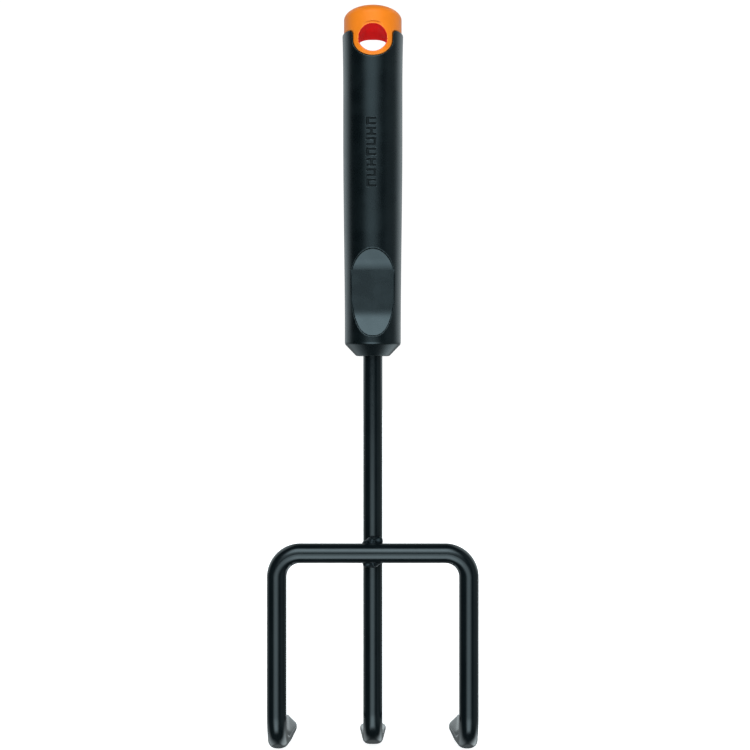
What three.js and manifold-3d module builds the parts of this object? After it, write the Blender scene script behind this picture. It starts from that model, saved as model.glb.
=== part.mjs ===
// Hand cultivator: three forged steel tines on one shaft, with a two-part plastic handle.
//
// Millimetres, +Z up the handle. The origin is the centre of the hanging hole. The handle
// and the shaft run along Z, the crossbar of the outer tines runs along X in front of the
// shaft (towards -Y), and all three tines turn back towards +Y at their lower ends.

import * as THREE from 'three';
import { mergeVertices } from 'three/addons/utils/BufferGeometryUtils.js';
import Module from 'manifold-3d';

const wasm = await Module();
wasm.setup();

// ---- Driving dimensions -------------------------------------------------------------

const GAP = 0.3;                    // clearance kept between neighbouring pieces
const BAR_DIAMETER = 8;             // both rods are 8 mm round bar
const COATING = 0.1;                // thickness of the black coating on the bar
const ROD_RADIUS = BAR_DIAMETER / 2 + COATING;

const DOME_TOP = 16.6;              // height of the handle's end above the hanging hole
const DOME_HEIGHT = 5.9;
const CAP_RADIUS = 12.65;
const HOLE_RADIUS = 6.05;
const TONGUE_RADIUS = 8.5;          // round tongue that carries the hole's rim

const SLEEVE_TOP = 4;
const NOSE_BOTTOM = -136.5;
const NOSE_RADIUS = 7.25;
const NOSE_CHAMFER = 5.2;           // height of the conical nose
const SLEEVE_WALL = 2.9;            // grip thickness over the core
const GRIP_OUTLINE = [              // radius and height of the grip, top to nose
  [13.33, SLEEVE_TOP],
  [13.04, -18],
  [13.0, -48],
  [12.6, -88],
  [12.27, NOSE_BOTTOM + NOSE_CHAMFER],
];

const DISH_TOP = -90.4;             // thumb dish, cut across the front of the grip
const DISH_BOTTOM = -128;
const DISH_FLOOR_Y = -8.15;
const DISH_LIP = 0.35;              // small step where the dish leaves the grip's surface
const DISH_TOP_RUN = 6.9;           // height over which each end slopes down to the floor
const DISH_BOTTOM_RUN = 9.3;
const DISH_FILLET = 2.6;            // half the height of the round between slope and floor
const DISH_BACKING = 2;             // from the dish's floor to the core behind it

const RIB_HEIGHT = 1;               // rings and keys that lock the grip to the core
const RIB_WIDTH = 3;
const RIB_LEVELS = [-28, -50, -72];
const KEY_WIDTH = 2.4;
const KEY_LENGTH = 56;
const CORE_INSET = 3.4;             // the core stops this far short of the nose
const CORE_TIP_RADIUS = 6.25;

const TANG_TOP = -38;
const EAR_LEVELS = [-52, -76];      // pinched ears that hold the tang in the core
const EAR_HALF_LENGTH = 6;
const EAR_HALF_WIDTH = 5.6;
const EAR_HALF_THICKNESS = 2.7;

const CROSSBAR_Z = -221.8;
const TINE_SPACING = 41.5;          // from the middle tine to each outer tine
const CORNER_RADIUS = 10.2;         // centre line of the fork's two upper corners
const FORK_Y = -(2 * ROD_RADIUS + GAP);

const HEEL_START = -292.2;          // where the middle tine starts to turn back
const OUTER_HEEL_START = -291.5;
const HEEL_RADIUS = 14;
const HEEL_ANGLE = THREE.MathUtils.degToRad(84);
const MIDDLE_HEEL_ANGLE = THREE.MathUtils.degToRad(80);  // the middle spade points lower

const SPADE_LENGTH = 52;            // forged end beyond the heel
const SPADE_WIDEST = 21;            // distance from the heel to the widest place
const SPADE_HALF_WIDTH = 6.1;
const SPADE_HALF_THICKNESS = 1.5;
const SPADE_TIP_HALF_WIDTH = 0.4;
const SPADE_TIP_HALF_THICKNESS = 0.7;
const SPADE_TIP_SHAPE = 1.9;        // power of the curve that narrows each spade to its tip
const SPADE_STATIONS = [0, 5, 10, 15, 21, 27, 33, 38, 43, 47, 50, SPADE_LENGTH];

const BEAD_RADII = [4.4, 3.3, 3.6]; // half sizes of a weld bead along X, Y and Z
const BEAD_Y = -5.3;
const BEAD_OFFSET = 4.6;            // from the crossbar's axis up or down to a bead's centre

// How finely round shapes are divided.
const ROD_SIDES = 20;
const ROUND_SIDES = 40;
const HOLE_SEGMENTS = 14;
const TONGUE_SEGMENTS = 9;
const DOME_STEPS = 9;
const HEEL_STEPS = 9;
const CORNER_STEPS = 8;
const GRIP_STEPS = 10;
const CORE_STEPS = 5;
const DISH_SEGMENTS = 5;

const THROUGH = 4 * CAP_RADIUS;     // long enough to cut right through the handle

// ---- Materials ----------------------------------------------------------------------

const material = (color, roughness, metalness) =>
  new THREE.MeshStandardMaterial({ color, roughness, metalness });

const orangePlastic = material(0xff8c2e, 0.35, 0);
const gripRubber = material(0x202a2d, 0.6, 0);
const coatedSteel = material(0x14191c, 0.25, 0.3);

const X_AXIS = new THREE.Vector3(1, 0, 0);
const Y_AXIS = new THREE.Vector3(0, 1, 0);
const Z_AXIS = new THREE.Vector3(0, 0, 1);

// ---- Solids -------------------------------------------------------------------------

// A closed three.js geometry as a solid, without the flat triangles at a lathe's poles.
function toSolid(geometry) {
  geometry.deleteAttribute('normal');
  geometry.deleteAttribute('uv');
  const merged = mergeVertices(geometry, 1e-4);
  const triangles = [];
  const corners = merged.index.array;
  for (let i = 0; i < corners.length; i += 3) {
    const [a, b, c] = corners.slice(i, i + 3);
    if (a !== b && b !== c && c !== a) triangles.push(a, b, c);
  }
  return new wasm.Manifold(new wasm.Mesh({
    numProp: 3,
    vertProperties: merged.attributes.position.array,
    triVerts: new Uint32Array(triangles),
  }));
}

function toGeometry(solid) {
  const mesh = solid.getMesh();
  const geometry = new THREE.BufferGeometry();
  geometry.setAttribute('position', new THREE.BufferAttribute(mesh.vertProperties, 3));
  geometry.setIndex(new THREE.BufferAttribute(mesh.triVerts, 1));
  geometry.computeVertexNormals();
  return geometry;
}

// A solid of revolution about Z from [radius, height] points, lowest first.
function turned(points) {
  const profile = points.map(([radius, z]) => new THREE.Vector2(radius, z));
  const geometry = new THREE.LatheGeometry(profile, ROUND_SIDES);
  return toSolid(geometry.rotateX(Math.PI / 2));
}

// A block of an XZ outline that runs right through the handle along Y.
function throughBlock(shape, curveSegments) {
  const settings = { depth: THROUGH, curveSegments, bevelEnabled: false };
  const geometry = new THREE.ExtrudeGeometry(shape, settings);
  return toSolid(geometry.rotateX(Math.PI / 2).translate(0, THROUGH / 2, 0));
}

// ---- Rods: a turtle path whose steps are its stations -------------------------------

// A straight stretch has a station only at its end, and a bend has evenly spaced ones.
class RodPath extends THREE.Curve {
  constructor(start, heading) {
    super();
    this.stations = [{ point: start.clone(), tangent: heading.clone() }];
  }

  get end() {
    return this.stations[this.stations.length - 1];
  }

  line(length) {
    const { point, tangent } = this.end;
    this.stations.push({ point: point.clone().addScaledVector(tangent, length), tangent });
    return this;
  }

  bend(radius, angle, axis, steps) {
    const { point, tangent } = this.end;
    const arm = tangent.clone().cross(axis).multiplyScalar(radius);
    const centre = point.clone().sub(arm);
    for (let i = 1; i <= steps; i++) {
      const turn = (angle * i) / steps;
      this.stations.push({
        point: arm.clone().applyAxisAngle(axis, turn).add(centre),
        tangent: tangent.clone().applyAxisAngle(axis, turn),
      });
    }
    return this;
  }

  station(t) {
    return this.stations[Math.round(t * (this.stations.length - 1))];
  }

  getPoint(t, target = new THREE.Vector3()) {
    return target.copy(this.station(t).point);
  }

  getPointAt(u, target) {
    return this.getPoint(u, target);
  }

  getTangentAt(u, target = new THREE.Vector3()) {
    return target.copy(this.station(u).tangent);
  }
}

function roundBar(path, radius) {
  const section = new THREE.Shape().absarc(0, 0, radius, 0, 2 * Math.PI);
  return new THREE.ExtrudeGeometry(section, {
    steps: path.stations.length - 1,
    curveSegments: ROD_SIDES / 2,
    extrudePath: path,
  });
}

// ---- Forged spade ends --------------------------------------------------------------

// Where a tine's spade begins, at the end of its heel, and which way it runs. The heel itself
// starts at the given point.
function spadeRoot(heelStart, heelAngle) {
  const point = heelStart.clone();
  point.y += HEEL_RADIUS * (1 - Math.cos(heelAngle));
  point.z -= HEEL_RADIUS * Math.sin(heelAngle);
  const heading = new THREE.Vector3(0, Math.sin(heelAngle), -Math.cos(heelAngle));
  return { point, heading };
}

function spadeHalfWidth(along) {
  if (along < SPADE_WIDEST) {
    const rise = Math.sin((Math.PI / 2) * (along / SPADE_WIDEST));
    return THREE.MathUtils.lerp(ROD_RADIUS, SPADE_HALF_WIDTH, rise);
  }
  const beyond = (along - SPADE_WIDEST) / (SPADE_LENGTH - SPADE_WIDEST);
  return THREE.MathUtils.lerp(SPADE_HALF_WIDTH, SPADE_TIP_HALF_WIDTH, beyond ** SPADE_TIP_SHAPE);
}

function spadeHalfThickness(along) {
  if (along < SPADE_WIDEST) {
    const fall = THREE.MathUtils.smoothstep(along, 0, SPADE_WIDEST);
    return THREE.MathUtils.lerp(ROD_RADIUS, SPADE_HALF_THICKNESS, fall);
  }
  const beyond = (along - SPADE_WIDEST) / (SPADE_LENGTH - SPADE_WIDEST);
  return THREE.MathUtils.lerp(SPADE_HALF_THICKNESS, SPADE_TIP_HALF_THICKNESS, beyond);
}

// Flattens the bar beyond a spade's root.
function forgeSpade(geometry, root) {
  const positions = geometry.attributes.position;
  const vertex = new THREE.Vector3();
  const offset = new THREE.Vector3();
  for (let i = 0; i < positions.count; i++) {
    vertex.fromBufferAttribute(positions, i);
    offset.subVectors(vertex, root.point);
    const along = offset.dot(root.heading);
    if (along <= 0 || Math.abs(offset.x) > 2 * ROD_RADIUS) continue;
    const side = offset.x * (spadeHalfWidth(along) / ROD_RADIUS);
    offset.addScaledVector(root.heading, -along).setX(0);
    offset.multiplyScalar(spadeHalfThickness(along) / ROD_RADIUS);
    offset.addScaledVector(root.heading, along).addScaledVector(X_AXIS, side);
    vertex.addVectors(root.point, offset);
    positions.setXYZ(i, vertex.x, vertex.y, vertex.z);
  }
  return geometry;
}

function spadeSteps(path, distances) {
  for (let i = 1; i < distances.length; i++) path.line(Math.abs(distances[i] - distances[i - 1]));
  return path;
}

// ---- Shaft and middle tine ----------------------------------------------------------

const EAR_FLAT = 0.3;               // part of an ear's half length that is fully pinched
const EAR_STEPS = [-1, -0.6, -EAR_FLAT, EAR_FLAT, 0.6, 1];

// The shaft's bar, or with a clearance the cavity that it leaves in what surrounds it.
function shaftBar(clearance) {
  const radius = ROD_RADIUS + clearance;
  const top = new THREE.Vector3(0, 0, TANG_TOP + clearance);
  const path = new RodPath(top, Z_AXIS.clone().negate());
  const runDownTo = (z) => path.line(path.end.point.z - z);
  for (const level of EAR_LEVELS) {
    for (const step of EAR_STEPS) runDownTo(level - step * EAR_HALF_LENGTH);
  }
  runDownTo(HEEL_START);
  path.bend(HEEL_RADIUS, MIDDLE_HEEL_ANGLE, X_AXIS, HEEL_STEPS);
  spadeSteps(path, SPADE_STATIONS);
  return pinchEars(roundBar(path, radius), radius, clearance);
}

function pinchEars(geometry, radius, clearance) {
  const positions = geometry.attributes.position;
  for (let i = 0; i < positions.count; i++) {
    const z = positions.getZ(i);
    for (const level of EAR_LEVELS) {
      const distance = Math.abs(z - level) / EAR_HALF_LENGTH;
      const pinch = 1 - THREE.MathUtils.smoothstep(distance, EAR_FLAT, 1);
      const halfWidth = THREE.MathUtils.lerp(ROD_RADIUS, EAR_HALF_WIDTH, pinch) + clearance;
      const halfThickness = THREE.MathUtils.lerp(ROD_RADIUS, EAR_HALF_THICKNESS, pinch) + clearance;
      positions.setX(i, positions.getX(i) * (halfWidth / radius));
      positions.setY(i, positions.getY(i) * (halfThickness / radius));
    }
  }
  return geometry;
}

function shaftCentreTine() {
  const heelStart = new THREE.Vector3(0, 0, HEEL_START);
  return forgeSpade(shaftBar(0), spadeRoot(heelStart, MIDDLE_HEEL_ANGLE));
}

// ---- Outer tine fork ----------------------------------------------------------------

function outerTineFork() {
  const heelStart = (x) => new THREE.Vector3(x, FORK_Y, OUTER_HEEL_START);
  const left = spadeRoot(heelStart(-TINE_SPACING), HEEL_ANGLE);
  const right = spadeRoot(heelStart(TINE_SPACING), HEEL_ANGLE);
  const tip = left.point.clone().addScaledVector(left.heading, SPADE_LENGTH);
  const path = new RodPath(tip, left.heading.clone().negate());
  const legLength = CROSSBAR_Z - CORNER_RADIUS - OUTER_HEEL_START;
  const corner = [CORNER_RADIUS, Math.PI / 2, Y_AXIS, CORNER_STEPS];
  spadeSteps(path, [...SPADE_STATIONS].reverse());
  path.bend(HEEL_RADIUS, HEEL_ANGLE, X_AXIS.clone().negate(), HEEL_STEPS);
  path.line(legLength);
  path.bend(...corner);
  path.line(2 * (TINE_SPACING - CORNER_RADIUS));
  path.bend(...corner);
  path.line(legLength);
  path.bend(HEEL_RADIUS, HEEL_ANGLE, X_AXIS, HEEL_STEPS);
  spadeSteps(path, SPADE_STATIONS);
  return forgeSpade(forgeSpade(roundBar(path, ROD_RADIUS), left), right);
}

// ---- Weld beads ---------------------------------------------------------------------

// A bead in the nook where the crossbar crosses the shaft: side is 1 above it, -1 below.
function weldBead(side) {
  const bead = new THREE.SphereGeometry(1, 16, 10).scale(...BEAD_RADII);
  bead.translate(0, BEAD_Y, CROSSBAR_Z + side * BEAD_OFFSET);
  const clear = ROD_RADIUS + GAP;
  const shaft = new THREE.CylinderGeometry(clear, clear, THROUGH, ROD_SIDES);
  shaft.rotateX(Math.PI / 2).translate(0, 0, CROSSBAR_Z);
  const crossbar = new THREE.CylinderGeometry(clear, clear, THROUGH, ROD_SIDES);
  crossbar.rotateZ(Math.PI / 2).translate(0, FORK_Y, CROSSBAR_Z);
  return toGeometry(toSolid(bead).subtract(toSolid(shaft)).subtract(toSolid(crossbar)));
}

// ---- Handle -------------------------------------------------------------------------

const GRIP_CURVE = new THREE.SplineCurve(GRIP_OUTLINE.map(([r, z]) => new THREE.Vector2(r, z)));

// [radius, height] points of the grip's side, lowest first, inset towards the axis.
function gripSide(inset, divisions) {
  const points = GRIP_CURVE.getSpacedPoints(divisions).reverse();
  return points.map(({ x, y }) => [x - inset, y]);
}

// The tongue's outline: a half round below the hole with straight sides above it.
function tongueOutline(radius, top) {
  const shape = new THREE.Shape();
  shape.moveTo(radius, top);
  shape.lineTo(-radius, top);
  shape.lineTo(-radius, 0);
  shape.absarc(0, 0, radius, Math.PI, 2 * Math.PI);
  shape.closePath();
  return shape;
}

// Everything in front of the thumb dish, set a distance deeper into the handle.
function dishCutter(deeper) {
  const floor = DISH_FLOOR_Y + deeper;
  const lipAt = (gripRadius) => -gripRadius + DISH_LIP + deeper;
  const topLip = lipAt(GRIP_OUTLINE[3][0]);
  const bottomLip = lipAt(GRIP_OUTLINE[4][0]);
  const outside = -2 * CAP_RADIUS;
  const topKnee = DISH_TOP - DISH_TOP_RUN;
  const bottomKnee = DISH_BOTTOM + DISH_BOTTOM_RUN;
  const topSlope = (topLip - floor) / DISH_TOP_RUN;
  const bottomSlope = (bottomLip - floor) / DISH_BOTTOM_RUN;
  const shape = new THREE.Shape();
  shape.moveTo(outside, DISH_TOP);
  shape.lineTo(topLip, DISH_TOP);
  shape.lineTo(floor + topSlope * DISH_FILLET, topKnee + DISH_FILLET);
  shape.quadraticCurveTo(floor, topKnee, floor, topKnee - DISH_FILLET);
  shape.lineTo(floor, bottomKnee + DISH_FILLET);
  const slopeStart = floor + bottomSlope * DISH_FILLET;
  shape.quadraticCurveTo(floor, bottomKnee, slopeStart, bottomKnee - DISH_FILLET);
  shape.lineTo(bottomLip, DISH_BOTTOM);
  shape.lineTo(outside, DISH_BOTTOM);
  shape.closePath();
  const settings = { depth: THROUGH, curveSegments: DISH_SEGMENTS, bevelEnabled: false };
  const geometry = new THREE.ExtrudeGeometry(shape, settings);
  geometry.translate(0, 0, -THROUGH / 2);
  // The outline's x and y become Y and Z, and its depth becomes X.
  const axes = new THREE.Matrix4().makeBasis(Y_AXIS, Z_AXIS, X_AXIS);
  return toSolid(geometry.applyMatrix4(axes));
}

// The hidden part of the core, grown by a clearance to make the room that it takes.
function coreStem(clearance) {
  const bottom = NOSE_BOTTOM + CORE_INSET - clearance;
  const inset = SLEEVE_WALL - clearance;
  const side = gripSide(inset, CORE_STEPS).filter(([, z]) => z > bottom + NOSE_CHAMFER);
  const [shoulder] = side;
  const stem = turned([
    [0, bottom],
    [CORE_TIP_RADIUS + clearance, bottom],
    [shoulder[0], bottom + NOSE_CHAMFER - CORE_INSET],
    ...side,
    [0, SLEEVE_TOP],
  ]);
  return addLocks(stem, clearance).subtract(dishCutter(DISH_BACKING - clearance));
}

// Rings against pulling and two keys against turning.
function addLocks(stem, clearance) {
  const root = GRIP_OUTLINE[2][0] - SLEEVE_WALL - RIB_HEIGHT;
  const crest = root + 2 * RIB_HEIGHT + clearance;
  const half = RIB_WIDTH / 2 + clearance;
  const foot = half + RIB_HEIGHT;
  let locked = stem;
  for (const level of RIB_LEVELS) {
    locked = locked.add(turned([
      [0, level - foot],
      [root, level - foot],
      [crest, level - half],
      [crest, level + half],
      [root, level + foot],
      [0, level + foot],
    ]));
  }
  const width = KEY_WIDTH + 2 * clearance;
  const key = new THREE.BoxGeometry(2 * crest, width, KEY_LENGTH + 2 * clearance);
  key.translate(0, 0, RIB_LEVELS[1]);
  return locked.add(toSolid(key));
}

function handleCore() {
  const domeBase = DOME_TOP - DOME_HEIGHT;
  const dome = [];
  for (let i = 0; i <= DOME_STEPS; i++) {
    const angle = (Math.PI / 2) * (i / DOME_STEPS);
    const radius = i === DOME_STEPS ? 0 : CAP_RADIUS * Math.cos(angle);
    dome.push([radius, domeBase + DOME_HEIGHT * Math.sin(angle)]);
  }
  const capBottom = SLEEVE_TOP + GAP;
  const neckRadius = GRIP_OUTLINE[0][0] - SLEEVE_WALL;
  const neck = [[0, 0], [neckRadius, 0], [neckRadius, capBottom]];
  const cap = turned([...neck, [CAP_RADIUS, capBottom], ...dome]);
  const barrel = turned([
    [0, -2 * TONGUE_RADIUS],
    [CAP_RADIUS, -2 * TONGUE_RADIUS],
    [CAP_RADIUS, domeBase],
    [0, domeBase],
  ]);
  const outline = tongueOutline(TONGUE_RADIUS, domeBase);
  const tongue = barrel.intersect(throughBlock(outline, TONGUE_SEGMENTS));
  const circle = new THREE.Shape().absarc(0, 0, HOLE_RADIUS, 0, 2 * Math.PI);
  const hole = throughBlock(circle, HOLE_SEGMENTS);
  const whole = coreStem(0).add(cap).add(tongue);
  return toGeometry(whole.subtract(hole).subtract(toSolid(shaftBar(GAP))));
}

function gripSleeve() {
  const nose = [[0, NOSE_BOTTOM], [NOSE_RADIUS, NOSE_BOTTOM]];
  const outside = turned([...nose, ...gripSide(0, GRIP_STEPS), [0, SLEEVE_TOP]]);
  const outline = tongueOutline(TONGUE_RADIUS + GAP, DOME_TOP);
  const notch = throughBlock(outline, TONGUE_SEGMENTS);
  const shell = outside.subtract(coreStem(GAP)).subtract(notch).subtract(dishCutter(0));
  return toGeometry(shell.subtract(toSolid(shaftBar(GAP))));
}

// ---- Assembly -----------------------------------------------------------------------

const group = new THREE.Group();

function addPart(name, geometry, finish) {
  const mesh = new THREE.Mesh(geometry, finish);
  mesh.name = name;
  group.add(mesh);
}

addPart('handle_core', handleCore(), orangePlastic);
addPart('grip_sleeve', gripSleeve(), gripRubber);
addPart('shaft_centre_tine', shaftCentreTine(), coatedSteel);
addPart('outer_tine_fork', outerTineFork(), coatedSteel);
addPart('weld_bead_upper', weldBead(1), coatedSteel);
addPart('weld_bead_lower', weldBead(-1), coatedSteel);

export default group;
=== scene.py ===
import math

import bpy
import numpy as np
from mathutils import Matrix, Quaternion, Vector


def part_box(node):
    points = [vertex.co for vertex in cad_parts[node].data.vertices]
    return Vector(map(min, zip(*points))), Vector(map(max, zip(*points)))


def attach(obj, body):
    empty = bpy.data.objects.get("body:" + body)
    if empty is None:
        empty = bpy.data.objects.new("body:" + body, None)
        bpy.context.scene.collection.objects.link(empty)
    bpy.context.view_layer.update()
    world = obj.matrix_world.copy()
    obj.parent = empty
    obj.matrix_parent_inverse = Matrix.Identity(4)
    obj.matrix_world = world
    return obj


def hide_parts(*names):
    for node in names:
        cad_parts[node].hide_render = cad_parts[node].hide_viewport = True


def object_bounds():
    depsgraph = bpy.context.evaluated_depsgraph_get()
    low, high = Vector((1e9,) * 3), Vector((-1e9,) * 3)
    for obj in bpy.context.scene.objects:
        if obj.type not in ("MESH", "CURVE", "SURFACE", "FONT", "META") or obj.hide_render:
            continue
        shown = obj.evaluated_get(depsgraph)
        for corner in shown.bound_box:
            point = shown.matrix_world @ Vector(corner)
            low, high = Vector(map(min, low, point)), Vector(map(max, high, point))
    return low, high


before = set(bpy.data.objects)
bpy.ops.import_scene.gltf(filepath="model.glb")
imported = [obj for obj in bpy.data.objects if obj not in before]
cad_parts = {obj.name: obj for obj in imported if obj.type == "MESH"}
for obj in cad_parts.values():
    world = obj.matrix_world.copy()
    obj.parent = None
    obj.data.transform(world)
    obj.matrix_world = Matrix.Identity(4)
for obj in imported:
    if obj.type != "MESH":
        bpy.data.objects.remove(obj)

# Hand cultivator in the shared frame: metres, +Z up the handle, the front of the tines at -Y.
# Shapes are worked out in millimetres and brought to metres where a mesh is made. The grip,
# the orange handle end and the weld beads are distance functions meshed by surface nets. The
# two rods are cross-sections swept along their centre lines.

MM = 0.001
START_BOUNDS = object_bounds()


def corners(node):
    """The low and high corners of a CAD node's box, in millimetres."""
    low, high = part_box(node)
    return np.array(low) / MM, np.array(high) / MM


SLEEVE_LOW, SLEEVE_HIGH = corners("grip_sleeve")
_, CORE_HIGH = corners("handle_core")
SHAFT_LOW, SHAFT_HIGH = corners("shaft_centre_tine")
FORK_LOW, FORK_HIGH = corners("outer_tine_fork")

# ---- Dimensions, millimetres -------------------------------------------------------------

BAR_RADIUS = -SHAFT_LOW[1]
COATING_BUILD = 0.12                # the photo's bars look this much fuller than the CAD's
ROD_RADIUS = BAR_RADIUS + COATING_BUILD
CROSSBAR_Z = FORK_HIGH[2] - BAR_RADIUS
FORK_Y = FORK_LOW[1] + BAR_RADIUS
CORNER_RADIUS = 10.2
HEEL_START = -292.2                 # height where the middle tine starts to bend back
OUTER_HEEL_START = -291.5
HEEL_RADIUS = 14
HEEL_ANGLE = math.radians(84)
MIDDLE_HEEL_ANGLE = math.radians(80)
FLAT_ANGLE = math.radians(60)       # slope of the small flat on the outside of a heel
FLAT_DEPTH = 0.4
ROD_SIDES = 96
SHAFT_HIDDEN = 3                    # length of the shaft modelled inside the grip's nose

# Places along a tine are distances beyond its heel, so they are negative on the heel itself.
SPADE_HALF_WIDTH = SHAFT_HIGH[0]
MIDDLE_SPADE_HALF_WIDTH = SPADE_HALF_WIDTH - 0.3
TINE_SPACING = FORK_HIGH[0] - SPADE_HALF_WIDTH
SPADE_LENGTH = 52
SPADE_FLARE_START = -9
SPADE_WIDEST = 25
SPADE_TAPER = 0.262
SPADE_FACE_START = 5
SPADE_HALF_THICKNESS = 1.5
SPADE_TIP_HALF_WIDTH = 0.3
SPADE_TIP_HALF_THICKNESS = 0.7
SPADE_SHOULDER_BLEND = 2.6
SPADE_SHOULDER_CUT = 0.4            # what the blend takes off the widest place
OUTER_THINNING_START = -1
INNER_THINNING_START = -14
FLATTENING_START = -18
FLATTENING_END = -6
BLADE_FORMED = 10
SPINE_HEIGHT = 0.55
SPINE_BLEND = 0.9
OUTER_SQUARENESS = 2.4              # power of a heel's outer curve, where 2 is round
MIDDLE_SQUARENESS = 3.2
BLADE_OUTER_POWER = 3.4
BLADE_INNER_POWER = 6

SLEEVE_TOP = SLEEVE_HIGH[2]
SLEEVE_BOTTOM = SLEEVE_LOW[2]
GRIP_RADIUS = 13.0
GRIP_FLARE = 0.33
GRIP_FLARE_START = -20
GRIP_FLARE_LENGTH = 24
GRIP_TAPER = 0.72
GRIP_TAPER_TOP = -40
GRIP_TAPER_BOTTOM = -128
NOSE_SHOULDER = SLEEVE_BOTTOM + 5.2
NOSE_OUTER_RADIUS = 12.27
NOSE_INNER_RADIUS = 7.25

DISH_CENTRE_Z = -103
DISH_HALF_WIDTH = 9.45
DISH_UP = 12.6
DISH_DOWN = 25
DISH_FLOOR_Y = -8.15
DISH_TOP_KNEE = -97.3
DISH_BOTTOM_KNEE = -118.7
DISH_TOP_SLOPE = math.radians(27)
DISH_BOTTOM_SLOPE = math.radians(20.9)

MARK_COUNT = 7
MARK_PITCH = 4.42
MARK_TOP = -34.3
MARK_LENGTH = 3.2
MARK_HALF_WIDTH = 2.0
MARK_STROKE = 0.4
MARK_DEPTH = 0.6
MARK_CENTRE_X = -0.6
MARK_SHADE_REACH = 0.05
NO_MARK = 50.0                      # a distance far outside every mark

CAP_RADIUS = CORE_HIGH[0]
CAP_TOP = CORE_HIGH[2]
DOME_HEIGHT = 5.9
CAP_UNDERSIDE = SLEEVE_TOP + 0.3
TONGUE_HALF_WIDTH = 8.4
TONGUE_DEPTH = 7.65
TONGUE_GAP = 0.3
HOLE_RADIUS = 6.05
HOLE_DEPTH = 5.65
FACING_RADIUS = 7.15
FACING_DEPTH = 0.78
BORE_BACK_HALF_WIDTH = 7.0
BORE_BACK_HALF_HEIGHT = 5.7
BORE_SKIN = 0.25                    # faces this near the bore belong to it
NECK_RADIUS = 10.15                 # hidden neck of the handle end, inside the grip
NECK_BOTTOM = -13
NECK_CLEARANCE = 0.3
SHAFT_CLEARANCE = 0.12
SHAFT_ROOM_LENGTH = 4.8

WELD_Y = -5.1
WELD_LOBES = ((-2.8, 3.4, 1.9), (-0.2, 4.2, 2.7), (2.5, 4.8, 2.0))  # x, height and radius
WELD_HALF_WIDTH = 4.6
WELD_HALF_DEPTH = 4.2
WELD_HALF_HEIGHT = 4.4
WELD_MIDDLE_Y = -4.6
WELD_MIDDLE_HEIGHT = 3.4
WELD_FILLET = 3.6
WELD_OVERLAP = 0.5                  # how far a bead reaches into the bars that it joins
WELD_ROOT = 0.7                     # height above the crossbar's axis where a bead ends

FLOOR_HALF_WIDTH = 6000
CAMERA_DISTANCE = 501               # in front of the crossbar's axis
CAMERA_X = 0.96
CAMERA_Z = -147
CAMERA_LENS = 55.68
CAMERA_SHIFT = 0.00667

# ---- Distance functions: negative inside, in millimetres ------------------------------------


def smooth_max(a, b, width):
    """The larger of two values, with the crease between them rounded over a width."""
    blend = np.clip(0.5 + 0.5 * (a - b) / width, 0, 1)
    return b + (a - b) * blend + width * blend * (1 - blend)


def smooth_min(a, b, width):
    return -smooth_max(-a, -b, width)


def smoothstep(low, high, value):
    t = np.clip((value - low) / (high - low), 0, 1)
    return t * t * (3 - 2 * t)


def grip_radius(z):
    flare = GRIP_FLARE * np.clip((z - GRIP_FLARE_START) / GRIP_FLARE_LENGTH, 0, 1) ** 2
    taper = GRIP_TAPER * smoothstep(GRIP_TAPER_TOP, GRIP_TAPER_BOTTOM, z)
    return GRIP_RADIUS + flare - taper


def dish_outline(x, z):
    """Distance in the XZ plane to the thumb dish's rounded outline."""
    above = z > DISH_CENTRE_Z
    power = np.where(above, 2.0, 2.5)
    half_height = np.where(above, DISH_UP, DISH_DOWN)
    across = np.abs(x) / DISH_HALF_WIDTH
    along = np.abs(z - DISH_CENTRE_Z) / half_height
    size = np.maximum((across**power + along**power) ** (1 / power), 0.2)
    slope_x = (across / size) ** (power - 1) / DISH_HALF_WIDTH
    slope_z = (along / size) ** (power - 1) / half_height
    return (size - 1) / np.hypot(slope_x, slope_z)


def dish_floor(z):
    """How far forward the dish's floor lies, ramped up to the grip's surface at both ends."""
    top = DISH_FLOOR_Y - math.tan(DISH_TOP_SLOPE) * (z - DISH_TOP_KNEE)
    bottom = DISH_FLOOR_Y - math.tan(DISH_BOTTOM_SLOPE) * (DISH_BOTTOM_KNEE - z)
    return smooth_min(smooth_min(top, DISH_FLOOR_Y + 0 * z, 1.34), bottom, 1.0)


def box_outline(u, v, half_u, half_v):
    """Distance in a plane to a rectangle about the origin."""
    out_u = np.abs(u) - half_u
    out_v = np.abs(v) - half_v
    outside = np.hypot(np.maximum(out_u, 0), np.maximum(out_v, 0))
    return outside + np.minimum(np.maximum(out_u, out_v), 0)


def grip_marks(x, z):
    """A column of plain sunk marks: bars joined in turn at one side, the other, or both."""
    marks = np.full(np.shape(x), NO_MARK)
    x = x - MARK_CENTRE_X
    for number in range(MARK_COUNT):
        middle = MARK_TOP - MARK_LENGTH / 2 - number * MARK_PITCH
        reach = MARK_LENGTH / 2 - MARK_STROKE
        for end in (-1, 1):
            bar = box_outline(x, z - middle - end * reach, MARK_HALF_WIDTH, MARK_STROKE)
            marks = np.minimum(marks, bar)
        side = (number % 3 - 1) * (MARK_HALF_WIDTH - MARK_STROKE)
        link = box_outline(x - side, z - middle, MARK_STROKE, reach)
        marks = np.minimum(marks, link)
    return marks


def tongue_outline(x, z):
    """Distance in the XZ plane to the tongue below the hole: half an ellipse, then straight up."""
    squash = TONGUE_HALF_WIDTH / TONGUE_DEPTH
    return np.hypot(x, np.minimum(z, 0) * squash) - TONGUE_HALF_WIDTH


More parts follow.
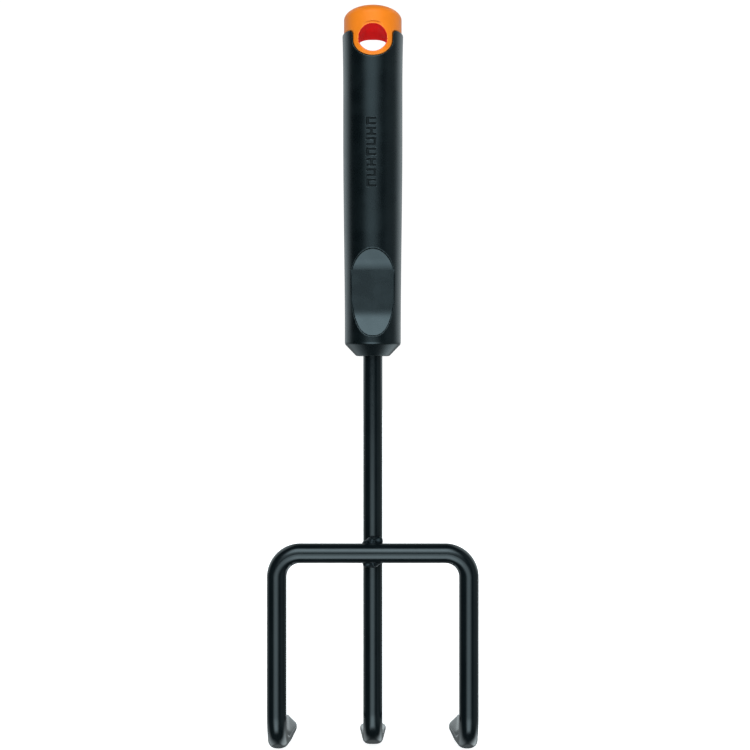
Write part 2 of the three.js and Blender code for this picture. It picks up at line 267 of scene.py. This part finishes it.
def grip_distance(x, y, z):
    """The grip: a tapered barrel with a notch, marks, a dish, and room for the neck and shaft."""
    rho = np.hypot(x, y)
    run = NOSE_OUTER_RADIUS - NOSE_INNER_RADIUS
    rise = NOSE_SHOULDER - SLEEVE_BOTTOM
    cone = ((rho - NOSE_OUTER_RADIUS) * rise - (z - NOSE_SHOULDER) * run) / math.hypot(run, rise)
    body = smooth_max(rho - grip_radius(z), cone, 0.45)
    body = smooth_max(body, SLEEVE_BOTTOM - z, 0.35)
    notch = TONGUE_GAP - tongue_outline(x, z)
    rim = smooth_max(z - SLEEVE_TOP, notch, 2.4)
    body = smooth_max(body, rim, 0.5)
    marks = np.where(y < 0, grip_marks(x, z), NO_MARK)
    body = smooth_max(body, np.minimum(-marks, body + MARK_DEPTH), 0.08)
    dish = smooth_max(y - dish_floor(z), dish_outline(x, z), 0.3)
    body = smooth_max(body, -dish, 0.35)
    neck_room = np.maximum(rho - NECK_RADIUS - NECK_CLEARANCE, NECK_BOTTOM - 1 - z)
    shaft_top = SLEEVE_BOTTOM + SHAFT_ROOM_LENGTH
    shaft_room = np.maximum(rho - ROD_RADIUS - SHAFT_CLEARANCE, z - shaft_top)
    return np.maximum(body, -np.minimum(neck_room, shaft_room))


def bore_outline(x, y, z):
    """Distance to the hanging hole's bore: round in front, wider and flatter at the back."""
    back = smoothstep(-CAP_RADIUS, CAP_RADIUS, y)
    half_width = HOLE_RADIUS + (BORE_BACK_HALF_WIDTH - HOLE_RADIUS) * back
    front_half_height = np.where(z > 0, HOLE_RADIUS, HOLE_DEPTH)
    half_height = front_half_height + (BORE_BACK_HALF_HEIGHT - front_half_height) * back
    power = 2 + back
    across = np.abs(x) / half_width
    up = np.abs(z) / half_height
    return ((across**power + up**power) ** (1 / power) - 1) * half_height


def cap_distance(x, y, z):
    """The orange end: a domed cap with a tongue, a hidden neck, a facing and the hole's bore."""
    rho = np.hypot(x, y)
    dome_base = CAP_TOP - DOME_HEIGHT
    up = np.maximum(z - dome_base, 0) / DOME_HEIGHT
    size = np.maximum(np.hypot(rho / CAP_RADIUS, up), 0.2)
    slope = np.hypot(rho / CAP_RADIUS**2, up / DOME_HEIGHT) / size
    dome = (size - 1) / slope
    front = smooth_min(CAP_UNDERSIDE - z, tongue_outline(x, z), 2.2)
    body = smooth_max(dome, front, 0.3)
    neck = np.maximum(rho - NECK_RADIUS, np.maximum(NECK_BOTTOM - z, z - dome_base))
    body = np.minimum(body, neck)
    from_hole = np.hypot(x, z)
    facing = np.maximum(from_hole - FACING_RADIUS, CAP_RADIUS - FACING_DEPTH - np.abs(y))
    body = smooth_max(body, -facing, 0.12)
    return smooth_max(body, -bore_outline(x, y, z), 0.45)


def weld_distance(side):
    """A weld bead in the nook above (1) or below (-1) the crossbar, lapping onto both rods."""

    def distance(x, y, z):
        height = side * (z - CROSSBAR_Z)
        shaft = np.hypot(x, y) - ROD_RADIUS
        crossbar = np.hypot(y - FORK_Y, height) - ROD_RADIUS
        depth = (y - WELD_MIDDLE_Y) / WELD_HALF_DEPTH
        rise = (height - WELD_MIDDLE_HEIGHT) / WELD_HALF_HEIGHT
        extent = np.sqrt((x / WELD_HALF_WIDTH) ** 2 + depth**2 + rise**2)
        fillet = smooth_min(shaft, crossbar, WELD_FILLET) + 0.05
        metal = smooth_max(fillet, (extent - 1) * WELD_HALF_HEIGHT, 2.6)
        for lobe_x, lobe_height, radius in WELD_LOBES:
            off_x, off_z = x - side * lobe_x, height - lobe_height
            lobe = np.sqrt(off_x**2 + (y - WELD_Y) ** 2 + off_z**2) - radius
            metal = smooth_min(metal, lobe, 0.7)
        ripple = np.sin(2.2 * x + 1.3 * height + side) * np.sin(1.8 * height - 0.9 * x)
        metal = metal + 0.08 * ripple
        metal = np.maximum(metal, WELD_ROOT - height)
        return np.maximum(metal, -WELD_OVERLAP - np.minimum(shaft, crossbar))

    return distance


# ---- Meshes ------------------------------------------------------------------------------

SNAP_STEPS = 4                      # Newton steps that bring a net onto its exact surface
SNAP_REACH = 0.02
EDGE_REACH = 0.12                   # how far apart normals and edges are felt out


def steps(*stretches):
    """Grid values over stretches given as (start, step) pairs, ending at the last start."""
    values = []
    for (start, step), (stop, _) in zip(stretches, stretches[1:]):
        count = max(1, round(abs(stop - start) / step))
        values.extend(np.linspace(start, stop, count, endpoint=False))
    values.append(stretches[-1][0])
    return np.array(values)


def gradient(distance, points, reach):
    """The distance at each point, its slope, and how sharply the surface bends there."""
    middle = distance(*points.T)
    slope = np.empty_like(points)
    bend = -6 * middle              # six neighbours, two for each axis
    for axis in range(3):
        offset = np.zeros(3)
        offset[axis] = reach
        ahead = distance(*(points + offset).T)
        behind = distance(*(points - offset).T)
        slope[:, axis] = (ahead - behind) / (2 * reach)
        bend = bend + ahead + behind
    return middle, slope, bend / reach**2


def surface_net(distance, axes):
    """Vertices and quads of the surface where distance is zero on the grid of axes."""
    grid = np.meshgrid(*axes, indexing="ij")
    values = distance(*grid)
    inside = values < 0
    shape = np.array(values.shape) - 1
    total = np.zeros((*shape, 3))
    count = np.zeros(shape)
    crossings = []
    for axis in range(3):
        near = [slice(None)] * 3
        far = [slice(None)] * 3
        near[axis] = slice(0, -1)
        far[axis] = slice(1, None)
        near, far = tuple(near), tuple(far)
        crosses = inside[near] != inside[far]
        span = np.where(crosses, values[near] - values[far], 1)
        share = np.where(crosses, values[near] / span, 0)
        point = np.stack([g[near] for g in grid], axis=-1)
        point[..., axis] += share * (grid[axis][far] - grid[axis][near])
        others = [a for a in range(3) if a != axis]
        for first in (0, 1):
            for second in (0, 1):
                window = [slice(None)] * 3
                window[others[0]] = slice(first, first + shape[others[0]])
                window[others[1]] = slice(second, second + shape[others[1]])
                window = tuple(window)
                total += point[window] * crosses[window][..., None]
                count += crosses[window]
        crossings.append((crosses, inside[near], others))
    used = count > 0
    index = np.full(tuple(shape), -1)
    index[used] = np.arange(used.sum())
    vertices = total[used] / count[used][:, None]
    quads = []
    for axis, (crosses, starts_inside, others) in enumerate(crossings):
        place = np.argwhere(crosses)
        inner = np.ones(len(place), bool)
        for other in others:
            inner &= (place[:, other] > 0) & (place[:, other] < shape[other])
        place = place[inner]
        ring = []
        for first, second in ((-1, -1), (0, -1), (0, 0), (-1, 0)):
            cell = place.copy()
            cell[:, others[0]] += first
            cell[:, others[1]] += second
            ring.append(index[tuple(cell.T)])
        ring = np.stack(ring, axis=1)
        outward = starts_inside[tuple(place.T)] != (axis == 1)
        quads.append(np.where(outward[:, None], ring, ring[:, ::-1]))
    return vertices, np.concatenate(quads)


def link(name, mesh, nodes, slot, material):
    """Adds a finished mesh as a piece that stands for the named CAD nodes."""
    mesh.materials.append(material)
    piece = bpy.data.objects.new(name, mesh)
    bpy.context.scene.collection.objects.link(piece)
    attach(piece, "root")
    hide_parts(*nodes)


def carved_mesh(name, distance, axes):
    """A distance function's surface, with its exact normals and an edge attribute."""
    vertices, quads = surface_net(distance, axes)
    for _ in range(SNAP_STEPS):
        off, slope, _ = gradient(distance, vertices, SNAP_REACH)
        length = np.maximum((slope**2).sum(axis=1), 0.25)
        move = np.clip(off / length, -0.25, 0.25)
        vertices = vertices - slope * move[:, None]
    _, slope, bend = gradient(distance, vertices, EDGE_REACH)
    normals = slope / np.maximum(np.linalg.norm(slope, axis=1), 1e-6)[:, None]

    mesh = bpy.data.meshes.new(name)
    mesh.from_pydata((vertices * MM).tolist(), [], quads.tolist())
    mesh.polygons.foreach_set("use_smooth", np.ones(len(quads), bool))
    edge = mesh.attributes.new("edge", "FLOAT", "POINT")
    edge.data.foreach_set("value", np.clip(bend * 0.5, 0, 1))
    mesh.normals_split_custom_set_from_vertices(normals.tolist())
    mesh.update()
    return mesh


class Sweep:
    """Cross-sections along a path of lines and bends, each with its distance past a heel."""

    def __init__(self, start, heading, side, along):
        self.point = Vector(start)
        self.heading = Vector(heading)
        self.side = Vector(side)
        self.along = along
        self.rows = []
        self.keep()

    def keep(self):
        self.rows.append((self.point.copy(), self.heading.copy(), self.side.copy(), self.along))

    def line(self, length, step, way=0):
        count = max(1, round(length / step))
        for _ in range(count):
            self.point += self.heading * (length / count)
            self.along += way * length / count
            self.keep()

    def bend(self, radius, angle, axis, step, way=0):
        count = max(1, round(radius * angle / step))
        arm = self.heading.cross(Vector(axis)) * radius
        centre = self.point - arm
        turn = Quaternion(axis, angle / count)
        for _ in range(count):
            arm = turn @ arm
            self.heading = turn @ self.heading
            self.side = turn @ self.side
            self.point = centre + arm
            self.along += way * radius * angle / count
            self.keep()


def spade_half_width(along, widest):
    """Flares in a straight line from the bar to the widest place and then back to the tip."""
    flare = max(along - SPADE_FLARE_START, 0) / (SPADE_WIDEST - SPADE_FLARE_START)
    rising = ROD_RADIUS + (widest + SPADE_SHOULDER_CUT - ROD_RADIUS) * flare
    falling = SPADE_TIP_HALF_WIDTH + (SPADE_LENGTH - along) * SPADE_TAPER
    return smooth_min(rising, falling, SPADE_SHOULDER_BLEND)


def spade_half_thickness(along):
    """Half the thickness on a tine's outer side, from the bar to the thin tip."""
    fall = smoothstep(OUTER_THINNING_START, SPADE_WIDEST, along)
    thickness = ROD_RADIUS + (SPADE_HALF_THICKNESS - ROD_RADIUS) * fall
    beyond = max(0, (along - SPADE_WIDEST) / (SPADE_LENGTH - SPADE_WIDEST))
    return thickness + (SPADE_TIP_HALF_THICKNESS - SPADE_HALF_THICKNESS) * beyond


def tine_section(along, squareness, outward, widest):
    """Points round a tine's cross-section as (sideways, outward) offsets.

    The spade's inner face is flat, with a low spine that is as wide as the bar at the heel
    and narrows to a point at the tip.
    """
    half_width = spade_half_width(along, widest)
    half_thickness = spade_half_thickness(along)
    face_share = np.clip((along - SPADE_FACE_START) / (SPADE_LENGTH - SPADE_FACE_START), 0, 1)
    face = SPADE_HALF_THICKNESS + (SPADE_TIP_HALF_THICKNESS - SPADE_HALF_THICKNESS) * face_share
    thinned = smoothstep(INNER_THINNING_START, SPADE_FACE_START, along)
    inner_excess = (half_thickness - face) * thinned
    flattened = smoothstep(FLATTENING_START, FLATTENING_END, along)
    blade = smoothstep(0, BLADE_FORMED, along)
    spine_half_width = max(0, 1 - along / SPADE_LENGTH) * ROD_RADIUS
    outer_power = 2 + (squareness - 2) * flattened + (BLADE_OUTER_POWER - squareness) * blade
    inner_power = 2 + (BLADE_INNER_POWER - 2) * blade
    points = []
    for number in range(ROD_SIDES):
        angle = 2 * math.pi * number / ROD_SIDES
        across, out = math.cos(angle), math.sin(angle)
        power = outer_power if out * outward > 0 else inner_power
        scale = (abs(across) ** power + abs(out) ** power) ** (-1 / power)
        sideways = half_width * across * scale
        outwards = half_thickness * out * scale
        if out * outward <= 0:
            outwards -= inner_excess * out * scale
            edge = abs(sideways) - spine_half_width
            spine = blade * SPINE_HEIGHT * (1 - smoothstep(-SPINE_BLEND, SPINE_BLEND, edge))
            outwards -= outward * spine * min(1, 2 * abs(out * scale))
        points.append((sideways, outwards))
    return points


def flatten_heel(point, outward):
    """Moves a point of a heel's outside back to the small flat that the forging leaves there."""
    rod_y = FORK_Y if outward > 0 else 0
    heel_start = OUTER_HEEL_START if outward > 0 else HEEL_START
    centre = Vector((0, rod_y + HEEL_RADIUS, heel_start)) * MM
    down = Vector((0, -math.cos(FLAT_ANGLE), -math.sin(FLAT_ANGLE)))
    excess = (point - centre).dot(down) - (HEEL_RADIUS + ROD_RADIUS - FLAT_DEPTH) * MM
    if excess > 0 and point.z < heel_start * MM:
        point = point - down * excess
    return point


def swept_mesh(name, sweep, squareness, outward, widest):
    """A rod's skin over the sweep's rows; outward is the side of the heels' outer curve."""
    vertices, faces = [], []
    for point, heading, side, along in sweep.rows:
        normal = side.cross(heading)
        for across, out in tine_section(along, squareness, outward, widest):
            vertices.append((point + side * across + normal * out) * MM)
    for row in range(len(sweep.rows) - 1):
        for number in range(ROD_SIDES):
            here = row * ROD_SIDES + number
            beside = row * ROD_SIDES + (number + 1) % ROD_SIDES
            faces.append((here, here + ROD_SIDES, beside + ROD_SIDES, beside))
    last = (len(sweep.rows) - 1) * ROD_SIDES
    faces.append(tuple(range(ROD_SIDES)))
    faces.append(tuple(range(last + ROD_SIDES - 1, last - 1, -1)))
    vertices = [flatten_heel(point, outward) for point in vertices]
    mesh = bpy.data.meshes.new(name)
    mesh.from_pydata(vertices, [], faces)
    mesh.polygons.foreach_set("use_smooth", np.ones(len(faces), bool))
    mesh.update()
    return mesh


def shaft_sweep():
    """From just inside the grip's nose down the shaft to the middle spade's tip."""
    top = SLEEVE_BOTTOM + SHAFT_HIDDEN
    length = top - HEEL_START
    sweep = Sweep((0, 0, top), (0, 0, -1), (1, 0, 0), -length - HEEL_RADIUS * MIDDLE_HEEL_ANGLE)
    sweep.line(length, 1, 1)
    sweep.bend(HEEL_RADIUS, MIDDLE_HEEL_ANGLE, (1, 0, 0), 0.4, 1)
    sweep.line(SPADE_LENGTH, 0.5, 1)
    return sweep


def fork_sweep():
    """From the left spade's tip up, across and down to the right spade's tip."""
    back = Vector((0, math.sin(HEEL_ANGLE), -math.cos(HEEL_ANGLE)))
    heel_y = FORK_Y + HEEL_RADIUS * (1 - math.cos(HEEL_ANGLE))
    heel_z = OUTER_HEEL_START - HEEL_RADIUS * math.sin(HEEL_ANGLE)
    tip = Vector((-TINE_SPACING, heel_y, heel_z)) + back * SPADE_LENGTH
    sweep = Sweep(tip, -back, (1, 0, 0), SPADE_LENGTH)
    leg = CROSSBAR_Z - CORNER_RADIUS - OUTER_HEEL_START
    sweep.line(SPADE_LENGTH, 0.5, -1)
    sweep.bend(HEEL_RADIUS, HEEL_ANGLE, (-1, 0, 0), 0.4, -1)
    sweep.line(leg, 1, -1)
    sweep.bend(CORNER_RADIUS, math.pi / 2, (0, 1, 0), 0.4)
    sweep.line(2 * (TINE_SPACING - CORNER_RADIUS), 1)
    sweep.bend(CORNER_RADIUS, math.pi / 2, (0, 1, 0), 0.4)
    sweep.line(leg, 1, 1)
    sweep.bend(HEEL_RADIUS, HEEL_ANGLE, (1, 0, 0), 0.4, 1)
    sweep.line(SPADE_LENGTH, 0.5, 1)
    return sweep


# ---- Materials ---------------------------------------------------------------------------


class Tree:
    """A shader node tree with short names for the nodes that are used often."""

    def __init__(self, tree):
        self.tree = tree

    def node(self, kind):
        return self.tree.nodes.new(kind)

    def feed(self, value, socket):
        """Gives a socket a number, a colour or another node's output."""
        if isinstance(value, (int, float)):
            socket.default_value = value
        elif isinstance(value, tuple):
            socket.default_value = (*value, 1)
        else:
            self.tree.links.new(value, socket)

    def math(self, operation, first, second):
        node = self.node("ShaderNodeMath")
        node.operation = operation
        self.feed(first, node.inputs[0])
        self.feed(second, node.inputs[1])
        return node.outputs[0]

    def spread(self, value, low, high, to_low, to_high):
        """Follows value with a smooth ramp, from to_low at low to to_high at high."""
        node = self.node("ShaderNodeMapRange")
        node.interpolation_type = "SMOOTHSTEP"
        limits = (("From Min", low), ("From Max", high), ("To Min", to_low), ("To Max", to_high))
        for name, limit in limits:
            node.inputs[name].default_value = limit
        self.feed(value, node.inputs["Value"])
        return node.outputs["Result"]


class Finish(Tree):
    """A Principled material built up from procedural layers in the object's millimetres."""

    def __init__(self, name, roughness, specular_tint):
        self.material = bpy.data.materials.new(name)
        self.material.use_nodes = True
        super().__init__(self.material.node_tree)
        self.shader = self.tree.nodes["Principled BSDF"]
        self.shader.inputs["Roughness"].default_value = roughness
        self.shader.inputs["Specular Tint"].default_value = (*specular_tint, 1)
        place = self.node("ShaderNodeTexCoord")
        scale = self.node("ShaderNodeVectorMath")
        scale.operation = "SCALE"
        scale.inputs["Scale"].default_value = 1 / MM
        self.feed(place.outputs["Object"], scale.inputs[0])
        self.place = scale.outputs[0]

    def noise(self, size, detail):
        """Noise whose blotches are about size millimetres wide."""
        node = self.node("ShaderNodeTexNoise")
        node.inputs["Scale"].default_value = 1 / size
        node.inputs["Detail"].default_value = detail
        self.feed(self.place, node.inputs["Vector"])
        return node.outputs["Fac"]

    def mix(self, share, first, second):
        node = self.node("ShaderNodeMix")
        node.data_type = "RGBA"
        self.feed(share, node.inputs["Factor"])
        self.feed(first, node.inputs[6])
        self.feed(second, node.inputs[7])
        return node.outputs[2]

    def attribute(self, name):
        node = self.node("ShaderNodeAttribute")
        node.attribute_name = name
        return node.outputs["Fac"]

    def colour(self, value):
        self.feed(value, self.shader.inputs["Base Color"])

    def roughness(self, value):
        self.feed(value, self.shader.inputs["Roughness"])

    def bump(self, height, depth, strength):
        """Relief of height times depth millimetres."""
        node = self.node("ShaderNodeBump")
        node.inputs["Strength"].default_value = strength
        node.inputs["Distance"].default_value = depth * MM
        self.feed(height, node.inputs["Height"])
        self.feed(node.outputs[0], self.shader.inputs["Normal"])


def grip_rubber():
    finish = Finish("grip_rubber", 0.28, (0.72, 0.92, 1.0))
    finish.shader.inputs["IOR"].default_value = 1.53
    handled = finish.noise(9, 3)
    grain = finish.noise(0.45, 3)
    # Lighter grey on sharp outer edges, where the edge attribute is high.
    edge_lightening = finish.spread(finish.attribute("edge"), 0.25, 1, 0, 0.3)
    clean = (0.0016, 0.0034, 0.0042)
    dusty = (0.0028, 0.0052, 0.0062)
    painted_mark_shade = (0.0006, 0.0010, 0.0012)
    edge_grey = (0.02, 0.028, 0.03)
    base = finish.mix(finish.spread(handled, 0.35, 0.65, 0, 1), clean, dusty)
    # Painted shade: the sunk marks are darkened to near black, as if shadowed, and made rougher.
    recess = finish.attribute("recess")
    base = finish.mix(recess, base, painted_mark_shade)
    finish.colour(finish.mix(edge_lightening, base, edge_grey))
    smooth = finish.spread(handled, 0.3, 0.7, 0.25, 0.31)
    finish.roughness(finish.math("MAXIMUM", smooth, finish.math("MULTIPLY", recess, 0.8)))
    finish.bump(grain, 0.008, 0.4)
    return finish.material


def orange_plastic():
    finish = Finish("orange_plastic", 0.35, (1, 1, 1))
    cloud = finish.noise(6, 3)
    grain = finish.noise(0.8, 2)
    share = finish.spread(cloud, 0.3, 0.7, 0, 1)
    base = finish.mix(share, (0.89, 0.217, 0.0107), (0.94, 0.234, 0.0127))
    finish.shader.inputs["Specular IOR Level"].default_value = 0.2
    # Paler orange on sharp outer edges, where the edge attribute is high.
    edge_lightening = finish.spread(finish.attribute("edge"), 0.3, 1, 0, 0.5)
    finish.colour(finish.mix(edge_lightening, base, (1.0, 0.36, 0.07)))
    finish.roughness(finish.spread(cloud, 0.3, 0.7, 0.38, 0.48))
    finish.bump(grain, 0.015, 0.4)
    return finish.material


# The hanging hole's inner wall: deep red painted shade and bounced light, standing in for light
# that bounces round inside the orange bore. It reflects almost nothing.
def bore_painted_shade():
    finish = Finish("bore_painted_shade", 0.6, (1, 0.3, 0.25))
    finish.shader.inputs["Specular IOR Level"].default_value = 0.02
    cloud = finish.noise(3, 2)
    share = finish.spread(cloud, 0.3, 0.7, 0, 1)
    finish.colour(finish.mix(share, (0.84, 0.022, 0.023), (0.92, 0.026, 0.027)))
    finish.roughness(finish.spread(cloud, 0.3, 0.7, 0.55, 0.7))
    finish.bump(cloud, 0.02, 0.3)
    return finish.material


def coated_steel():
    finish = Finish("coated_steel", 0.16, (0.78, 0.92, 0.97))
    cloud = finish.noise(14, 2)
    peel = finish.noise(2.2, 2)
    shade = finish.spread(cloud, 0.35, 0.65, 0, 1)
    finish.colour(finish.mix(shade, (0.0025, 0.0048, 0.006), (0.0035, 0.0062, 0.0075)))
    finish.roughness(finish.spread(peel, 0.3, 0.7, 0.14, 0.19))
    finish.bump(peel, 0.006, 0.15)
    return finish.material


def weld_metal():
    finish = Finish("weld_metal", 0.2, (0.66, 0.88, 1.0))
    ripple = finish.noise(0.9, 3)
    shade = finish.spread(ripple, 0.35, 0.65, 0, 1)
    finish.colour(finish.mix(shade, (0.0025, 0.0048, 0.006), (0.006, 0.009, 0.011)))
    finish.roughness(finish.spread(ripple, 0.3, 0.7, 0.2, 0.5))
    finish.shader.inputs["Specular IOR Level"].default_value = 0.28
    finish.bump(ripple, 0.04, 0.4)
    return finish.material


def pale_floor():
    finish = Finish("pale_floor", 0.8, (1, 1, 1))
    cloud = finish.noise(60, 2)
    finish.colour(finish.mix(cloud, (0.86, 0.87, 0.87), (0.9, 0.9, 0.9)))
    finish.shader.inputs["Emission Color"].default_value = (1, 1, 1, 1)
    finish.shader.inputs["Emission Strength"].default_value = 0.8
    return finish.material


# ---- Studio ------------------------------------------------------------------------------


# Soft boxes all round the object. Each is a window in azimuth from the front, which is signed
# or the same on both sides, then a window in elevation, and a strength. A window is where the
# light starts, is full, starts to fade and ends, in degrees, and one past 180 never fades.
SOFT_BOXES = (
    ("signed", (-50, -12, 2, 46), (15, 34, 50, 68), 4.3),               # high in front
    ("signed", (-45, -11, 0, 36), (4.5, 8.5, 14, 28), 1.1),             # just above level
    ("signed", (-45, -11, 0, 36), (-68, -50, -8, 3), 2.05),             # low in front
    ("signed", (-50, -12, 2, 46), (-66, -50, -32, -14), 1.5),           # lower still
    ("signed", (40, 60, 85, 110), (-50, -20, 30, 60), 0.22),            # to the right
    ("both", (88, 124, 145, 165), (-4, 3, 45, 70), 1.1),                # high behind the sides
    ("both", (88, 124, 145, 165), (-88, -66, -4, 3), 0.5),              # low behind the sides
    ("signed", (95, 130, 150, 168), (-76, -52, -38, -20), 1.3),         # low, behind right
    ("signed", (-168, -150, -130, -95), (-76, -52, -38, -20), 0.5),     # low, behind left
    ("both", (145, 165, 185, 190), (-1, 3, 45, 70), 0.38),              # high behind
    ("both", (145, 165, 185, 190), (-11, -7, -1, 3), 0.85),             # level behind
    ("both", (145, 165, 185, 190), (-88, -66, -14, -7), 0.19),          # low behind
)
ROOM_LIGHT = 0.03
ROOM_COLOUR = (0.9, 1.0, 1.03)
BACKDROP = 1.05


class Sky(Tree):
    """World nodes that place soft light by azimuth and elevation."""

    def __init__(self):
        self.world = bpy.data.worlds.new("studio")
        self.world.use_nodes = True
        super().__init__(self.world.node_tree)
        self.tree.nodes.clear()
        place = self.node("ShaderNodeTexCoord")
        split = self.node("ShaderNodeSeparateXYZ")
        self.feed(place.outputs["Generated"], split.inputs[0])
        x, y, z = split.outputs
        signed = self.math("ARCTAN2", x, self.math("MULTIPLY", y, -1))
        self.azimuth = {"signed": signed, "both": self.math("ABSOLUTE", signed, 0)}
        self.elevation = self.math("ARCSINE", z, 0)

    def window(self, angle, start, full, fade, end):
        rise = self.spread(angle, math.radians(start), math.radians(full), 0, 1)
        fall = self.spread(angle, math.radians(fade), math.radians(end), 1, 0)
        return self.math("MULTIPLY", rise, fall)

    def soft_box(self, kind, across, up, strength):
        across = self.window(self.azimuth[kind], *across)
        up = self.window(self.elevation, *up)
        return self.math("MULTIPLY", self.math("MULTIPLY", across, up), strength)

    def background(self, colour, strength):
        node = self.node("ShaderNodeBackground")
        self.feed(colour, node.inputs["Color"])
        self.feed(strength, node.inputs["Strength"])
        return node.outputs[0]


def diffuse_light():
    """A soft panel up in front that only lights matt colour, so it leaves no reflection."""
    data = bpy.data.lights.new("panel", "AREA")
    data.shape = "RECTANGLE"
    data.size = 0.5
    data.size_y = 0.5
    data.energy = 1.5
    panel = bpy.data.objects.new("panel", data)
    panel.location = (0.25, -0.7, 0.2)
    panel.rotation_euler = (math.radians(72), 0, 0)
    panel.visible_glossy = False
    panel.visible_camera = False
    bpy.context.scene.collection.objects.link(panel)


def studio_light():
    """Soft boxes that light the object, in front of a plain pale backdrop."""
    sky = Sky()
    total = ROOM_LIGHT
    for box in SOFT_BOXES:
        total = sky.math("ADD", sky.soft_box(*box), total)
    kind = sky.node("ShaderNodeLightPath")
    choose = sky.node("ShaderNodeMixShader")
    output = sky.node("ShaderNodeOutputWorld")
    sky.feed(kind.outputs["Is Camera Ray"], choose.inputs[0])
    sky.feed(sky.background(ROOM_COLOUR, total), choose.inputs[1])
    sky.feed(sky.background((1, 1, 1), BACKDROP), choose.inputs[2])
    sky.feed(choose.outputs[0], output.inputs[0])
    bpy.context.scene.world = sky.world


def floor(height):
    """A plain pale floor that stays out of the object's reflections."""
    half = FLOOR_HALF_WIDTH * MM
    mesh = bpy.data.meshes.new("floor")
    around = ((-half, -half), (half, -half), (half, half), (-half, half))
    square = [(x, y, height) for x, y in around]
    mesh.from_pydata(square, [], [(0, 1, 2, 3)])
    mesh.materials.append(pale_floor())
    plane = bpy.data.objects.new("floor", mesh)
    bpy.context.scene.collection.objects.link(plane)
    plane.visible_glossy = False
    plane.visible_diffuse = False
    plane.visible_shadow = False


def camera():
    """The photograph's view, level and straight from the front."""
    data = bpy.data.cameras.new("camera")
    data.sensor_width = 36
    data.lens = CAMERA_LENS
    data.shift_y = CAMERA_SHIFT
    data.clip_start = 0.01
    data.clip_end = 50
    viewer = bpy.data.objects.new("camera", data)
    viewer.location = Vector((CAMERA_X, FORK_Y - CAMERA_DISTANCE, CAMERA_Z)) * MM
    viewer.rotation_euler = (math.pi / 2, 0, 0)
    bpy.context.scene.collection.objects.link(viewer)
    bpy.context.scene.camera = viewer


# ---- Assembly ----------------------------------------------------------------------------


def inside_marks(mesh):
    """1 for each vertex in one of the grip's sunk marks and 0 for the others."""
    places = np.empty(3 * len(mesh.vertices))
    mesh.vertices.foreach_get("co", places)
    x, y, z = places.reshape(-1, 3).T / MM
    return np.where((y < 0) & (grip_marks(x, z) < MARK_SHADE_REACH), 1.0, 0.0)


def add_grip():
    width = GRIP_RADIUS + 1
    across = steps((-width, 0.4), (-10, 0.34), (10, 0.4), (width, 0))
    depth = steps((-width, 0.4), (width, 0))
    heights = steps(
        (SLEEVE_BOTTOM - 1, 0.3), (SLEEVE_BOTTOM + 7, 0.45), (-89, 1.2), (-65, 0.36), (-33, 1.2),
        (-10, 0.33), (SLEEVE_TOP + 1, 0),
    )
    mesh = carved_mesh("grip", grip_distance, (across, depth, heights))
    # The recess attribute tells grip_rubber where to paint shade into the sunk marks.
    recess = mesh.attributes.new("recess", "FLOAT", "POINT")
    recess.data.foreach_set("value", inside_marks(mesh))
    link("grip", mesh, ["grip_sleeve"], "grip_rubber", grip_rubber())


def add_handle_end():
    width = CAP_RADIUS + 0.7
    across = steps((-width, 0.28), (width, 0))
    heights = steps((-14, 0.6), (-10, 0.28), (CAP_TOP + 0.7, 0))
    mesh = carved_mesh("handle_end", cap_distance, (across, across, heights))
    link("handle_end", mesh, ["handle_core"], "orange_plastic", orange_plastic())
    # The bore's wall gets a second material of deep red painted shade.
    mesh.materials.append(bore_painted_shade())
    for face in mesh.polygons:
        x, y, z = face.center / MM
        if bore_outline(x, y, z) < BORE_SKIN and abs(y) < CAP_RADIUS - FACING_DEPTH:
            face.material_index = 1


def add_rods(material):
    shaft = swept_mesh("shaft", shaft_sweep(), MIDDLE_SQUARENESS, -1, MIDDLE_SPADE_HALF_WIDTH)
    link("shaft", shaft, ["shaft_centre_tine"], "coated_steel", material)
    fork = swept_mesh("tine_fork", fork_sweep(), OUTER_SQUARENESS, 1, SPADE_HALF_WIDTH)
    link("tine_fork", fork, ["outer_tine_fork"], "coated_steel", material)


def add_welds(material):
    across = steps((-6, 0.2), (6, 0))
    depth = steps((-11, 0.2), (1, 0))
    for name, side in (("upper", 1), ("lower", -1)):
        heights = steps((-1, 0.2), (9, 0)) * side + CROSSBAR_Z
        axes = (across, depth, np.sort(heights))
        mesh = carved_mesh(f"weld_{name}", weld_distance(side), axes)
        link(f"weld_{name}", mesh, [f"weld_bead_{name}"], "weld_metal", material)


add_grip()
add_handle_end()
add_rods(coated_steel())
add_welds(weld_metal())
floor(START_BOUNDS[0][2])
studio_light()
diffuse_light()
camera()
bpy.context.scene.view_settings.view_transform = "Standard"
